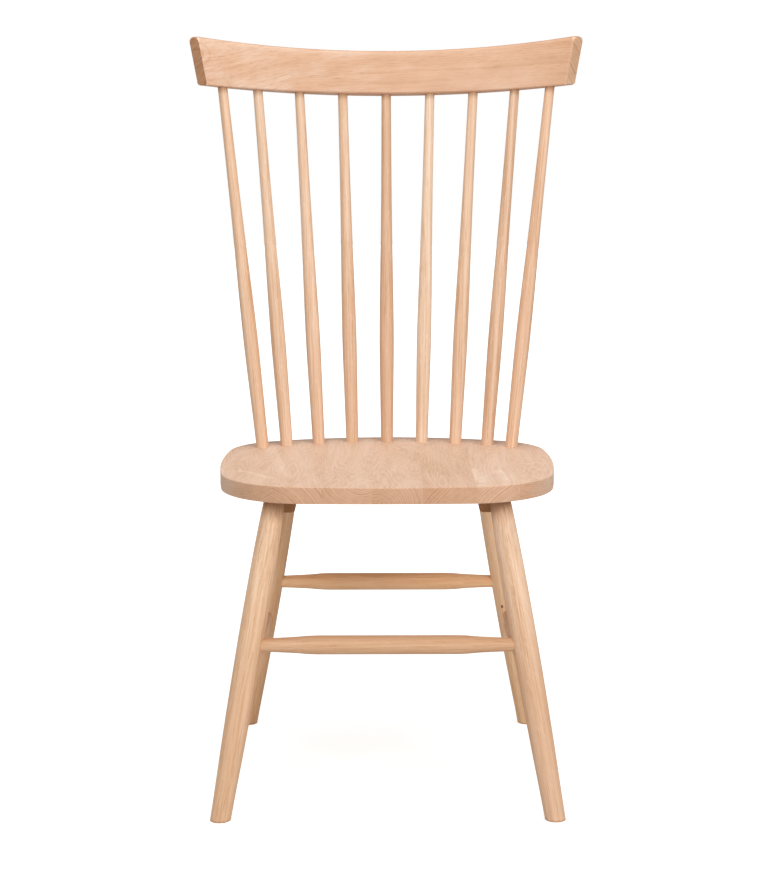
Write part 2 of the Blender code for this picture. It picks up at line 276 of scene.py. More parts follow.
def step_up(tree, value, low, high):
    """0 below low, 1 above high, and a smooth rise between."""
    made = add_node(tree, "MapRange", {"Value": value, "From Min": low, "From Max": high},
                    interpolation_type="SMOOTHSTEP")
    return made.outputs[0]


def band(tree, value, rise, fall):
    """Steps up over the span of the rise, and back to 0 over that of the fall."""
    return reckon(tree, "SUBTRACT", step_up(tree, value, *rise), step_up(tree, value, *fall))


def mix_colour(tree, amount, first, second, kind="MIX"):
    made = add_node(tree, "Mix", {0: amount, 6: first, 7: second}, data_type="RGBA",
                    blend_type=kind)
    return made.outputs[2]


def tinted(tree, amount, colour, tint):
    return mix_colour(tree, amount, colour, (*tint, 1.0), "MULTIPLY")


def noise(tree, place, scale=1.0, detail=1.0):
    made = add_node(tree, "TexNoise", {"Vector": place, "Scale": scale, "Detail": detail})
    return made.outputs["Fac"]


def grain_noise(tree, place, across, along, detail=2.0, output="Fac"):
    """Noise that is drawn out along the grain: across and along count its waves to the metre."""
    drawn_out = reckon_vector(tree, "MULTIPLY", place, (across, across, along))
    made = add_node(tree, "TexNoise", {"Vector": drawn_out, "Scale": 1.0, "Detail": detail})
    return made.outputs[output]


ring_wander = (
    # waves to the metre across and along the grain, and how far they push the rings aside
    (11.0, 3.2, 0.0100),
    (42.0, 13.0, 0.0026),
    (120.0, 40.0, 0.0007),
)
year_waves = 130.0
year_unevenness = 3.0
spring_start = (0.0, 0.12)
spring_end = (0.16, 0.62)
plain_season = 0.32
year_strengths = (0.4, 1.1)
end_grain = (0.30, 0.80)
ring_strengths = (1.0, 5.5)
pore_dashes = (0.58, 0.70)
pores_outside_spring = 0.35
ray_lean = -0.5
ray_slant = 0.6
ray_waves_around = 110.0
ray_waves_outward = 210.0
ray_waves_along = 45.0
ray_flecks = (0.56, 0.74)
fibre_strength = 1.5
streak_strength = 1.4
fine_strength = 1.2
patch_strength = 1.1
oak_roughness = 0.55
dark_line_roughness = 0.69
pore_relief = -0.7
fine_relief = 0.5
spring_relief = -0.25


def oak_figure():
    """Oak as it grows: rings about the log's pith, pores in rows along them, and rays across.

    Place is a point of the piece with Z along its grain, and Pith is where the log's middle runs
    past it. Lean is how far the pith moves sideways for each metre of the grain.
    """
    tree = bpy.data.node_groups.new("oak figure", "ShaderNodeTree")
    for kind, names in (("Vector", ("Place", "Pith", "Lean", "Grain")),
                        ("Float", ("Ring Width", "Waves", "Rings", "Streaks", "Pores", "Rays")),
                        ("Color", ("Wood", "Dark", "Pale", "End Tint"))):
        for name in names:
            tree.interface.new_socket(name, in_out="INPUT", socket_type=f"NodeSocket{kind}")
    for name, kind in (("Color", "Color"), ("Roughness", "Float"), ("Height", "Float")):
        tree.interface.new_socket(name, in_out="OUTPUT", socket_type=f"NodeSocket{kind}")
    given = tree.nodes.new("NodeGroupInput").outputs
    result = tree.nodes.new("NodeGroupOutput").inputs

    drift = resized(tree, given["Lean"], parts(tree, given["Place"])[2])
    straight = reckon_vector(tree, "SUBTRACT", given["Place"], given["Pith"])
    log = reckon_vector(tree, "SUBTRACT", straight, drift)
    for across, along, push in ring_wander:
        wander = grain_noise(tree, straight, across, along, detail=1.0, output="Color")
        wander = reckon_vector(tree, "SUBTRACT", wander, (0.5, 0.5, 0.5))
        wander = reckon_vector(tree, "MULTIPLY", wander, (push, push, 0.0))
        log = reckon_vector(tree, "ADD", log, resized(tree, wander, given["Waves"]))

    x, y, z = parts(tree, log)
    radius = measure(tree, "LENGTH", reckon_vector(tree, "MULTIPLY", log, (1.0, 1.0, 0.0)))
    uneven = add_node(tree, "TexNoise", {"W": times(tree, radius, year_waves), "Scale": 1.0,
                                         "Detail": 1.0}, noise_dimensions="1D")
    years = reckon(tree, "MULTIPLY_ADD", uneven.outputs["Fac"], year_unevenness,
                   reckon(tree, "DIVIDE", radius, given["Ring Width"]))
    year = add_node(tree, "TexWhiteNoise", {"W": reckon(tree, "FLOOR", years)},
                    noise_dimensions="1D").outputs["Value"]
    spring = band(tree, reckon(tree, "FRACT", years), spring_start, spring_end)

    fine = grain_noise(tree, log, across=900.0, along=9.0, detail=1.0)
    fibres = grain_noise(tree, log, across=420.0, along=4.5)
    streaks = grain_noise(tree, log, across=120.0, along=2.2)
    patches = grain_noise(tree, log, across=17.0, along=3.0)
    dashes = step_up(tree, grain_noise(tree, log, across=1000.0, along=32.0, detail=0.0),
                     *pore_dashes)
    pores = times(tree, dashes, between(tree, spring, pores_outside_spring, 1.0))

    outward = reckon(tree, "MULTIPLY_ADD", z, ray_lean, radius)
    upward = reckon(tree, "MULTIPLY_ADD", radius, ray_slant, z)
    ray_place = joined(tree, times(tree, reckon(tree, "ARCTAN2", y, x), ray_waves_around),
                       times(tree, outward, ray_waves_outward),
                       times(tree, upward, ray_waves_along))
    rays = step_up(tree, noise(tree, ray_place), *ray_flecks)

    facing = measure(tree, "DOT_PRODUCT", surface(tree, "Normal"), given["Grain"])
    end = step_up(tree, reckon(tree, "ABSOLUTE", facing), *end_grain)

    def centred(value, strength):
        return times(tree, reckon(tree, "SUBTRACT", value, 0.5), strength)

    ringed = times(tree, reckon(tree, "SUBTRACT", plain_season, spring),
                   between(tree, year, *year_strengths), given["Rings"],
                   between(tree, end, *ring_strengths))
    tone = reckon(tree, "ADD", centred(fibres, fibre_strength),
                  centred(streaks, streak_strength))
    tone = reckon(tree, "ADD", tone, centred(fine, fine_strength))
    tone = reckon(tree, "MULTIPLY_ADD", tone, given["Streaks"], ringed)
    tone = reckon(tree, "ADD", tone, centred(patches, patch_strength))
    tone = reckon(tree, "SUBTRACT", tone, times(tree, pores, given["Pores"]))
    tone = reckon(tree, "ADD", tone, times(tree, rays, given["Rays"]))
    dark = add_node(tree, "Clamp", {"Value": times(tree, tone, -1.0)}).outputs[0]
    pale = add_node(tree, "Clamp", {"Value": tone}).outputs[0]

    colour = mix_colour(tree, dark, given["Wood"], given["Dark"])
    colour = mix_colour(tree, pale, colour, given["Pale"])
    colour = mix_colour(tree, end, colour, given["End Tint"], "MULTIPLY")
    roughness = between(tree, dark, oak_roughness, dark_line_roughness)
    height = reckon(tree, "MULTIPLY_ADD", pores, pore_relief, times(tree, fine, fine_relief))
    height = reckon(tree, "MULTIPLY_ADD", spring, spring_relief, height)
    for name, found in (("Color", colour), ("Roughness", roughness), ("Height", height)):
        tree.links.new(found, result[name])
    return tree


oak = oak_figure()
grain_relief = 0.35
grain_depth = 0.0004


def oak_material(name, place, pith, lean=(0.0, 0.0, 0.0), grain=None, ring=0.0018, waves=1.0,
                 rings=0.3, streaks=0.7, pores=0.3, rays=0.3, wood=(0.785, 0.485, 0.295),
                 dark=(0.75, 0.61, 0.46), pale=(1.16, 1.28, 1.42), end_tint=(0.88, 0.80, 0.72),
                 shine=0.22, straighten=None, tint=None):
    """Bare sanded oak. Place is the piece's own, with Z along its grain, and pith is from there.

    Dark and pale say how its darkest and palest lines differ from the plain wood.
    """
    material = bpy.data.materials.new(name)
    material.use_nodes = True
    tree = material.node_tree
    shader = tree.nodes["Principled BSDF"]
    shader.inputs["Specular IOR Level"].default_value = shine
    back = place.inverted()
    at = add_node(tree, "Mapping", {"Vector": surface(tree, "Object"),
                                    "Rotation": back.to_euler(),
                                    "Location": back.translation}).outputs[0]
    if straighten:
        at = straighten(tree, at)
    darkest = [w * d for w, d in zip(wood, dark)]
    palest = [min(1.0, w * p) for w, p in zip(wood, pale)]
    figure = add_node(tree, "Group", {}, node_tree=oak)
    for key, value in (("Pith", pith), ("Lean", lean),
                       ("Grain", grain or place.to_3x3() @ Vector((0.0, 0.0, 1.0))),
                       ("Ring Width", ring), ("Waves", waves), ("Rings", rings),
                       ("Streaks", streaks), ("Pores", pores), ("Rays", rays),
                       ("Wood", (*wood, 1.0)), ("Dark", (*darkest, 1.0)),
                       ("Pale", (*palest, 1.0)), ("End Tint", (*end_tint, 1.0))):
        figure.inputs[key].default_value = value
    tree.links.new(at, figure.inputs["Place"])
    colour = figure.outputs["Color"]
    if tint:
        colour = tint(tree, at, colour)
    bump = add_node(tree, "Bump", {"Height": figure.outputs["Height"],
                                   "Strength": grain_relief, "Distance": grain_depth})
    tree.links.new(colour, shader.inputs["Base Color"])
    tree.links.new(figure.outputs["Roughness"], shader.inputs["Roughness"])
    tree.links.new(bump.outputs["Normal"], shader.inputs["Normal"])
    return material


def front_to_rear(x, y, z):
    """A place whose Z runs from the chair's front to its rear, and whose Y runs down."""
    return Matrix.Translation((x, y, z)) @ Matrix.Rotation(-pi / 2, 4, "X")


top_facing = (0.75, 0.95)
swirl_waves_across = 22.0
swirl_waves_along = 4.0
swirl_rings = 20.0
swirl_rise = (0.0, 0.45)
swirl_fall = (0.5, 1.0)
swirl_patches = (0.35, 0.65)
faintest_swirl = 0.25
swirl_tint = (0.91, 0.865, 0.82)
flame_soft_side = (-1.0, 1.0)
flame_sharp_side = (1.0, 1.15)
flame_full_length = 0.7
flame_tint = (1.12, 1.20, 1.28)
seat_flames = (
    # middle across and to the rear, half width towards the sharp side, half length, lean across,
    # and strength
    (-0.1645, -0.010, 0.0120, 0.155, -0.145, 0.75),
    (-0.1860, -0.136, 0.0120, 0.034, -0.800, 0.75),
    (0.1325, -0.135, -0.0125, 0.075, -0.020, 0.90),
    (0.1555, -0.136, 0.0070, 0.055, -0.053, 0.85),
)
rim_facing = (0.0, 0.4)
painted_rear_shades = (
    # how far each painted shade reaches in from the rear edge, and its tint
    (0.085, (0.80, 0.74, 0.69)),
    (0.022, (0.60, 0.51, 0.44)),
)


def sanded_top_and_rim_shade(middle, seed):
    """A board's top as hollowing and sanding left it.

    Fine swirls where the hollow cuts the rings, a few paler flames, and painted shade over the
    rear rim and a wider band in front of it.
    """
    def shade(tree, at, colour):
        x, _, z = parts(tree, at)
        upward = parts(tree, surface(tree, "Normal"))[2]
        on_top = step_up(tree, upward, *top_facing)

        swirl = noise(tree, joined(tree, times(tree, x, swirl_waves_across), seed,
                                   times(tree, z, swirl_waves_along)))
        season = reckon(tree, "FRACT", times(tree, swirl, swirl_rings))
        patches = step_up(tree, grain_noise(tree, at, across=60.0, along=9.0, detail=1.0),
                          *swirl_patches)
        lines = times(tree, band(tree, season, swirl_rise, swirl_fall),
                      between(tree, patches, faintest_swirl, 1.0), on_top)
        colour = tinted(tree, lines, colour, swirl_tint)

        for flame_x, flame_y, width, length, slant, strength in seat_flames:
            forward = reckon(tree, "ADD", z, seat_middle - flame_y)
            across = reckon(tree, "MULTIPLY_ADD", forward, -slant,
                            reckon(tree, "ADD", x, middle - flame_x))
            across = reckon(tree, "DIVIDE", across, width)
            ends = step_up(tree, reckon(tree, "ABSOLUTE", forward), length * flame_full_length,
                           length)
            flame = times(tree, step_up(tree, across, *flame_soft_side),
                          all_but(tree, step_up(tree, across, *flame_sharp_side)),
                          all_but(tree, ends), on_top, strength)
            colour = tinted(tree, flame, colour, flame_tint)

        bow_middle = (-middle, 0.0, seat_depth / 2 - rear_bow_radius)
        flat = reckon_vector(tree, "MULTIPLY", reckon_vector(tree, "SUBTRACT", at, bow_middle),
                             (1.0, 0.0, 1.0))
        reach = measure(tree, "LENGTH", flat)
        # Painted shade: the rear rim and a band in front of it are darkened.
        for width, shade_tint in painted_rear_shades:
            near = times(tree, step_up(tree, reach, rear_bow_radius - width, rear_bow_radius),
                         step_up(tree, upward, *rim_facing))
            colour = tinted(tree, near, colour, shade_tint)
        return colour
    return shade


seat_end_tint = (0.88, 0.755, 0.655)
board_logs = (
    # pith to the right of the board's middle, and below its top; seed; lean across and down;
    # rings' width and the wood's colour
    ((-0.017, -0.078, 1.3), (0.05, 0.06), 0.0024, (0.760, 0.515, 0.362)),
    ((-0.080, 0.089, 2.9), (-0.06, 0.05), 0.0026, (0.755, 0.507, 0.354)),
    ((0.030, -0.042, 4.7), (0.04, -0.05), 0.0022, (0.775, 0.530, 0.376)),
    ((-0.020, 0.050, 6.1), (0.05, 0.07), 0.0023, (0.765, 0.517, 0.364)),
    ((0.064, 0.102, 7.9), (-0.07, 0.04), 0.0024, (0.742, 0.492, 0.340)),
    ((0.090, 0.094, 9.3), (0.06, -0.05), 0.0025, (0.785, 0.540, 0.388)),
    ((-0.005, -0.060, 11.7), (-0.05, 0.06), 0.0022, (0.768, 0.519, 0.366)),
)

seat = whole_seat()
sawn = [-seat_width, *board_joints, seat_width]
for number, (left, right, log_place) in enumerate(zip(sawn, sawn[1:], board_logs), start=1):
    board = seat.copy()
    for at, facing in ((left + glue_line / 2, -1.0), (right - glue_line / 2, 1.0)):
        everything = board.verts[:] + board.edges[:] + board.faces[:]
        cut = bmesh.ops.bisect_plane(board, geom=everything, plane_co=(at, 0.0, 0.0),
                                     plane_no=(facing, 0.0, 0.0), clear_outer=True)
        cut_edges = [e for e in cut["geom_cut"] if isinstance(e, bmesh.types.BMEdge)]
        if cut_edges:
            bmesh.ops.edgeloop_fill(board, edges=cut_edges)
    pith, (lean_x, lean_y), ring, wood = log_place
    middle = (max(left, -seat_width / 2) + min(right, seat_width / 2)) / 2
    board_oak = oak_material(f"seat board {number} oak",
                             front_to_rear(middle, seat_middle, seat_height), pith,
                             lean=(lean_x, lean_y, 0.0), ring=ring, rings=0.20, streaks=0.45,
                             wood=wood, end_tint=seat_end_tint, shine=0.45,
                             tint=sanded_top_and_rim_shade(middle, seed=pith[2]))
    finished(f"seat_board_{number}_sanded", board, [f"seat_board_{number}"],
             board_oak)
seat.free()


# Legs
# Four turned legs, fattest a little above the stretchers and slimmer towards both ends. They
# splay outwards all round, and are cut level at the floor and under the seat, where a round
# tenon holds them.

leg_diameter = 0.0350
leg_shares = ((0.00, 0.79), (0.06, 0.818), (0.13, 0.857), (0.24, 0.918), (0.38, 0.97),
              (0.52, 0.997), (0.64, 1.00), (0.80, 0.965), (0.92, 0.89), (1.00, 0.79))
leg_feet = {"front": (0.2262, -0.26989), "rear": (0.2180, 0.17361)}
leg_heads = {"front": (0.15263, -0.17948), "rear": (0.14258, 0.07484)}
leg_fit = 0.0003
leg_steps = 48
leg_sides = 48
foot_edge_radius = 0.0008
cut_spare = 0.030
same_spot = 0.00002


def curve_through(table, at):
    """A smooth curve through a table's points."""
    last = len(table) - 1
    i = max(k for k in range(last) if at >= table[k][0] or k == 0)
    (x0, y0), (x1, y1) = table[i], table[i + 1]

    def slope(k):
        low, high = table[max(k - 1, 0)], table[min(k + 1, last)]
        return (high[1] - low[1]) / (high[0] - low[0])

    t = (at - x0) / (x1 - x0)
    width = x1 - x0
    return ((2 * t ** 3 - 3 * t ** 2 + 1) * y0 + (t ** 3 - 2 * t ** 2 + t) * width * slope(i)
            + (3 * t ** 2 - 2 * t ** 3) * y1 + (t ** 3 - t ** 2) * width * slope(i + 1))


def tapered(length, diameter, shares, steps, spare):
    """Heights and radii of a turned piece, which runs on plain for a spare length at both ends."""
    profile = [(length * i / steps, diameter / 2 * curve_through(shares, i / steps))
               for i in range(steps + 1)]
    return [(-spare, profile[0][1]), *profile, (length + spare, profile[-1][1])]


def turned(profile, sides, place):
    """A closed turned piece about its place's Z from (height, radius) points."""
    loops = [[(0.0, 0.0, profile[0][0])]]
    loops += [[(r * cos(2 * pi * i / sides), r * sin(2 * pi * i / sides), z)
               for i in range(sides)] for z, r in profile]
    loops.append([(0.0, 0.0, profile[-1][0])])
    bm = bmesh.new()
    loft(bm, loops)
    bm.transform(place)
    bmesh.ops.recalc_face_normals(bm, faces=bm.faces)
    return bm


def place_along(foot, head):
    """The place of a piece whose own Z runs from foot to head."""
    turn = (head - foot).to_track_quat("Z", "Y").to_matrix().to_4x4()
    return Matrix.Translation(foot) @ turn


def leg_axis(end, side):
    foot, head = leg_feet[end], leg_heads[end]
    return (Vector((side * foot[0], foot[1], 0.0)),
            Vector((side * head[0], head[1], seat_underside)))


leg_pale_rise = (0.16, 0.36)
leg_pale_tint = (1.17, 1.29, 1.42)
leg_painted_shade_rise = (0.404, 0.438)
leg_painted_shade_tint = (0.45, 0.35, 0.27)
foot_painted_shade_fall = (0.0005, 0.0040)
foot_painted_shade_tint = (0.76, 0.67, 0.58)
pin_knot_place = (0.1745, 0.1114, 0.2008)
pin_knot_size = (0.0022, 0.0060, 0.0034)
pin_knot_edge = (0.5, 1.0)
pin_knot_tint = (0.26, 0.15, 0.09)


def leg_tones_and_painted_shade(tree, at, colour):
    """A leg is paler from the stretchers up, and painted shade darkens its head under the seat.

    Painted shade also darkens its foot at the rim, and one pin knot shows on the right rear leg.
    """
    height = parts(tree, at)[2]
    colour = tinted(tree, step_up(tree, height, *leg_pale_rise), colour, leg_pale_tint)
    # Painted shade: the head is darkened where the seat keeps light off it.
    colour = tinted(tree, step_up(tree, height, *leg_painted_shade_rise), colour, leg_painted_shade_tint)
    place = surface(tree, "Object")
    # Painted shade: the foot's rim is darkened where it meets the floor.
    rim = all_but(tree, step_up(tree, parts(tree, place)[2], *foot_painted_shade_fall))
    colour = tinted(tree, rim, colour, foot_painted_shade_tint)
    away = reckon_vector(tree, "SUBTRACT", place, pin_knot_place)
    away = measure(tree, "LENGTH", reckon_vector(tree, "DIVIDE", away, pin_knot_size))
    knot = all_but(tree, step_up(tree, away, *pin_knot_edge))
    return tinted(tree, knot, colour, pin_knot_tint)


leg_logs = {("front", -1): ((0.155, -0.060, 21.0), (0.775, 0.477, 0.287)),
            ("front", 1): ((-0.132, 0.110, 24.0), (0.765, 0.475, 0.297)),
            ("rear", -1): ((0.090, 0.120, 27.0), (0.745, 0.440, 0.240)),
            # The right rear leg's wood is set paler than the others': painted light against the
            # shade it stands in.
            ("rear", 1): ((-0.105, -0.120, 31.0), (0.935, 0.585, 0.340))}
for (end, side), (pith, wood) in leg_logs.items():
    foot, head = leg_axis(end, side)
    place = place_along(foot, head)
    bm = turned(tapered((head - foot).length, leg_diameter, leg_shares, leg_steps, cut_spare),
                leg_sides, place)
    for height, facing in ((0.0, -1.0), (seat_underside - leg_fit, 1.0)):
        bmesh.ops.bisect_plane(bm, geom=bm.verts[:] + bm.edges[:] + bm.faces[:],
                               plane_co=(0.0, 0.0, height), plane_no=(0.0, 0.0, facing),
                               clear_outer=True)
        bmesh.ops.remove_doubles(bm, verts=bm.verts, dist=same_spot)
        rim = [e for e in bm.edges if e.is_boundary]
        bmesh.ops.edgeloop_fill(bm, edges=rim)
        if facing < 0:
            bmesh.ops.bevel(bm, geom=rim, offset=foot_edge_radius, segments=3, profile=0.5,
                            affect="EDGES")
    name = f"leg_{end}_{'left' if side < 0 else 'right'}"
    finished(f"{name}_turned", bm, [name],
             oak_material(f"{name} oak", place, pith, lean=(0.02 * side, 0.02, 0.0), waves=0.5,
                          streaks=0.95, pores=0.45, wood=wood, tint=leg_tones_and_painted_shade))


# Stretchers
# Four turned rails that tie the legs together, thickest along their middle half, with slim ends
# that go into blind holes in the legs. The side ones lie lower, clear of the other two.

stretcher_diameter = 0.0258
stretcher_end = 0.715
stretcher_shares = ((0.00, 0.00), (0.12, 0.22), (0.24, 0.48), (0.34, 0.85), (0.44, 1.00),
                    (0.60, 1.00), (1.00, 1.00))
stretcher_plain = 0.022
stretcher_stop = 0.010
stretcher_steps = 40
stretcher_sides = 40
shaded_top_facing = (0.15, 0.95)
shaded_top_tint = (0.85, 0.80, 0.76)


def leg_at(end, side, height):
    foot, head = leg_axis(end, side)
    return foot.lerp(head, height / seat_underside)


def painted_top_shade(tree, at, colour):
    """Painted shade: a stretcher's upper side is a little darker than the rest, where the seat
    keeps light off it.
    """
    upward = parts(tree, surface(tree, "Normal"))[2]
    return tinted(tree, step_up(tree, upward, *shaded_top_facing), colour, shaded_top_tint)


stretchers = (
    # name, the legs at its two ends, height, pith, and the wood's colour
    ("front", ("front", -1), ("front", 1), 0.2300, (0.020, 0.050, 41.0), (0.75, 0.455, 0.270)),
    # The rear stretcher's wood is set paler than the others': painted light against the shade it
    # lies in.
    ("rear", ("rear", -1), ("rear", 1), 0.2390, (-0.035, 0.040, 44.0), (0.95, 0.572, 0.318)),
    ("left", ("front", -1), ("rear", -1), 0.1860, (0.045, -0.020, 47.0), (0.75, 0.455, 0.270)),
    ("right", ("front", 1), ("rear", 1), 0.1860, (-0.050, 0.015, 51.0), (0.75, 0.455, 0.270)),
)
for name, start_leg, stop_leg, height, pith, wood in stretchers:
    start, stop = leg_at(*start_leg, height), leg_at(*stop_leg, height)
    half = (stop - start).length / 2
    radius = stretcher_diameter / 2
    profile = [(stretcher_stop, radius * stretcher_end), (stretcher_plain, radius * stretcher_end)]
    for i in range(1, stretcher_steps + 1):
        swell = min(1.0, max(0.0, curve_through(stretcher_shares, i / stretcher_steps)))
        profile.append((stretcher_plain + (half - stretcher_plain) * i / stretcher_steps,
                        radius * (stretcher_end + (1.0 - stretcher_end) * swell)))
    profile += [(2 * half - z, r) for z, r in reversed(profile[:-1])]
    place = place_along(start, stop)
    finished(f"stretcher_{name}_turned", turned(profile, stretcher_sides, place),
             [f"stretcher_{name}"],
             oak_material(f"stretcher {name} oak", place, pith, lean=(0.02, 0.01, 0.0),
                          waves=0.5, streaks=0.9, wood=wood, tint=painted_top_shade))


# Battens
# Two planed oak battens under the seat, front to back between the legs of each side. They keep
# the glued boards flat, and two zinc plated screws hold each from below. The imported solids have
# their shapes already.

# The battens' wood is set far darker than the other pieces': painted shade, for where they sit
# under the seat.
batten_shaded_wood = (0.51, 0.288, 0.145)
zinc_bright = (0.68, 0.66, 0.58, 1.0)
zinc_dull = (0.48, 0.45, 0.36, 1.0)
zinc_grain = 900.0
zinc_roughness = (0.2, 0.5)


def covered(node, material):
    for material_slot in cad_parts[node].material_slots:
        material_slot.material = material


def zinc():
    """Zinc plate on a screw: a dull grey-yellow metal in brighter and duller grains."""
    material = bpy.data.materials.new("zinc plate")
    material.use_nodes = True
    tree = material.node_tree
    shader = tree.nodes["Principled BSDF"]
    shader.inputs["Metallic"].default_value = 1.0
    dull = noise(tree, surface(tree, "Object"), scale=zinc_grain, detail=3.0)
    tree.links.new(mix_colour(tree, dull, zinc_bright, zinc_dull), shader.inputs["Base Color"])
    tree.links.new(between(tree, dull, *zinc_roughness), shader.inputs["Roughness"])
    return material


zinc_plate = zinc()
for side, pith in (("left", (0.03, 0.05, 61.0)), ("right", (-0.04, 0.06, 64.0))):
    covered(f"batten_{side}", oak_material(f"batten {side} oak",
                                           front_to_rear(0.0, seat_middle, seat_underside),
                                           pith, wood=batten_shaded_wood))
    for end in ("front", "rear"):
        covered(f"batten_screw_{end}_{side}", zinc_plate)


# Back spindles
# Nine turned spindles, fattest a quarter of the way up and tapered to both ends. They stand on
# an arc near the seat's rear edge and fan out and back to the crest rail.

spindle_diameter = 0.0217
spindle_shares = ((0.00, 0.85), (0.06, 0.87), (0.17, 0.945), (0.28, 1.00), (0.38, 0.972),
                  (0.50, 0.885), (0.62, 0.785), (0.78, 0.717), (1.00, 0.663))
spindle_steps = 48
spindle_sides = 36
spindle_sunk = 0.006
spindle_inset = 0.041
back_foot = seat_middle + seat_depth / 2 - spindle_inset
back_lean = radians(12.1)
back_height = 0.5321
crest_length = 0.5837
crest_bend_radius = 0.695
foot_arc_radius = 0.726 * seat_width
foot_places = tuple(share * seat_width / 2 for share in (0.0, 0.2213, 0.4338, 0.6335, 0.7811))
head_places = tuple(share * crest_length / 2 for share in (0.0, 0.229, 0.457, 0.678, 0.866))
crest_shade_length = 0.012
crest_shade_tint = (0.66, 0.55, 0.46)


def back_frame():
    """The leaning back's own place, from the middle of the crest's bend, with Z up the back."""
    turn = Matrix.Rotation(-back_lean, 4, "X")
    return (Matrix.Translation((0.0, back_foot, seat_height)) @ turn
            @ Matrix.Translation((0.0, -crest_bend_radius, 0.0)))


def back_point(run, back, up):
    turn = run / crest_bend_radius
    radius = crest_bend_radius + back
    return Vector((radius * sin(turn), radius * cos(turn), up))


def painted_shade_under_crest(length):
    """Painted shade on a spindle's head, where the crest keeps light off it."""
    def shade(tree, at, colour):
        shaded = step_up(tree, parts(tree, at)[2], length - crest_shade_length, length)
        return tinted(tree, shaded, colour, crest_shade_tint)
    return shade


spindle_logs = (((0.140, 0.080, 71.0), (0.769, 0.497, 0.320)),
                ((-0.120, 0.090, 74.0), (0.797, 0.554, 0.382)),
                ((0.100, -0.125, 77.0), (0.797, 0.540, 0.368)),
                ((-0.130, -0.070, 81.0), (0.778, 0.520, 0.349)),
                ((0.160, 0.040, 84.0), (0.707, 0.444, 0.283)),
                ((0.085, 0.140, 87.0), (0.850, 0.621, 0.449)),
                ((-0.115, 0.095, 91.0), (0.788, 0.530, 0.358)),
                ((0.150, -0.055, 94.0), (0.764, 0.511, 0.344)),
                ((-0.090, 0.135, 97.0), (0.790, 0.505, 0.330)))
middle_spindle = 5
for number, (pith, wood) in enumerate(spindle_logs, start=1):
    from_middle = abs(number - middle_spindle)
    side = -1 if number < middle_spindle else 1
    foot_x = foot_places[from_middle]
    foot_y = back_foot - foot_arc_radius + sqrt(foot_arc_radius ** 2 - foot_x ** 2)
    foot = Vector((side * foot_x, foot_y, seat_height))
    head = back_frame() @ back_point(side * head_places[from_middle], 0.0, back_height)
    length = (head - foot).length
    place = place_along(foot, head)
    bm = turned(tapered(length, spindle_diameter, spindle_shares, spindle_steps, spindle_sunk),
                spindle_sides, place)
    finished(f"spindle_{number}_turned", bm, [f"spindle_{number}"],
             oak_material(f"spindle {number} oak", place, pith, lean=(0.012 * side, 0.01, 0.0),
                          waves=0.4, streaks=1.1, shine=0.35, wood=wood,
                          tint=painted_shade_under_crest(length)))


# Crest rail
# One oak board, 22 mm thick, that bends round the sitter's back and stands a little taller at its
# ends, which lean outwards. All its edges are eased, and its ends show end grain.

crest_height = 0.0665
crest_horn = 0.0068
crest_thickness = 0.022
crest_flare = radians(11.8)
crest_end_cut = radians(18.0)
crest_untwist = radians(10.0)
crest_upper_radius = 0.0060
crest_lower_radius = 0.0028
crest_end_radius = 0.0009
crest_top_corner = 0.0045
crest_foot_corner = 0.0028
crest_corner_steps = 6
crest_steps = 34
crest_end_steps = 8
crest_end_share = 0.02


def crest_section():
    """The crest's rounded section: places through it, and heights from its bottom or its top."""
    points = []
    for through, top, radius, start in ((0.5, False, crest_lower_radius, -0.5),
                                        (0.5, True, crest_upper_radius, 0.0),
                                        (-0.5, True, crest_upper_radius, 0.5),
                                        (-0.5, False, crest_lower_radius, 1.0)):
        for i in range(crest_corner_steps + 1):
            turn = (start + i / (2 * crest_corner_steps)) * pi
            points.append((2 * through * (crest_thickness / 2 - radius) + radius * cos(turn), top,
                           (-radius if top else radius) + radius * sin(turn)))
    return points


def round_corner(radius, from_end):
    """How far a corner of this radius, seen from the front, falls short that far from the end."""
    return radius - sqrt(radius ** 2 - max(0.0, radius - from_end) ** 2)


def crest_ring(side):
    """The crest's section at a share of its half length, which is -1 at its left end."""
    loop = []
    from_end = (1.0 - abs(side)) * crest_length / 2
    for through, top, up in crest_section():
        height = crest_height + crest_horn * side ** 2
        level = up + height if top else up
        short = round_corner(crest_top_corner if top else crest_foot_corner, from_end)
        run = crest_length / 2 + (level / height - 0.5) * crest_height * tan(crest_flare)
        run += through * tan(crest_end_cut)
        level += -short if top else short
        level += (through + crest_thickness / 2) * tan(crest_untwist) * side ** 2
        loop.append(back_point(side * run, through, back_height + level))
    return loop


crest_stations = [i / crest_steps for i in range(crest_steps)]
crest_stations += [1.0 - crest_end_share * (1.0 - i / crest_end_steps) ** 2
                   for i in range(crest_end_steps + 1)]
crest_stations = [-at for at in reversed(crest_stations[1:])] + crest_stations
rings = [crest_ring(at) for at in crest_stations]
left_middle, right_middle = (sum(ring, Vector()) / len(ring) for ring in (rings[0], rings[-1]))
rings = [[left_middle], [left_middle.lerp(point, 0.5) for point in rings[0]], *rings,
         [right_middle.lerp(point, 0.5) for point in rings[-1]], [right_middle]]
bm = bmesh.new()
loft(bm, rings)
bmesh.ops.recalc_face_normals(bm, faces=bm.faces)
around = len(crest_section())
bm.verts.ensure_lookup_table()
rims = {frozenset(bm.verts[start + i] for i in (k, (k + 1) % around))
        for start in (1 + around, 1 + around * len(crest_stations)) for k in range(around)}
bmesh.ops.bevel(bm, geom=[e for e in bm.edges if frozenset(e.verts) in rims],
                offset=crest_end_radius, segments=3, profile=0.5, affect="EDGES")
bm.transform(back_frame())

straight_grain = 0.30
grain_rise_run = (-0.29, -0.11)
grain_rise_height = 0.030


def grain_rise(tree, run):
    """How far the grain near the crest's left end has risen by that place along it."""
    return times(tree, step_up(tree, run, *grain_rise_run), grain_rise_height)


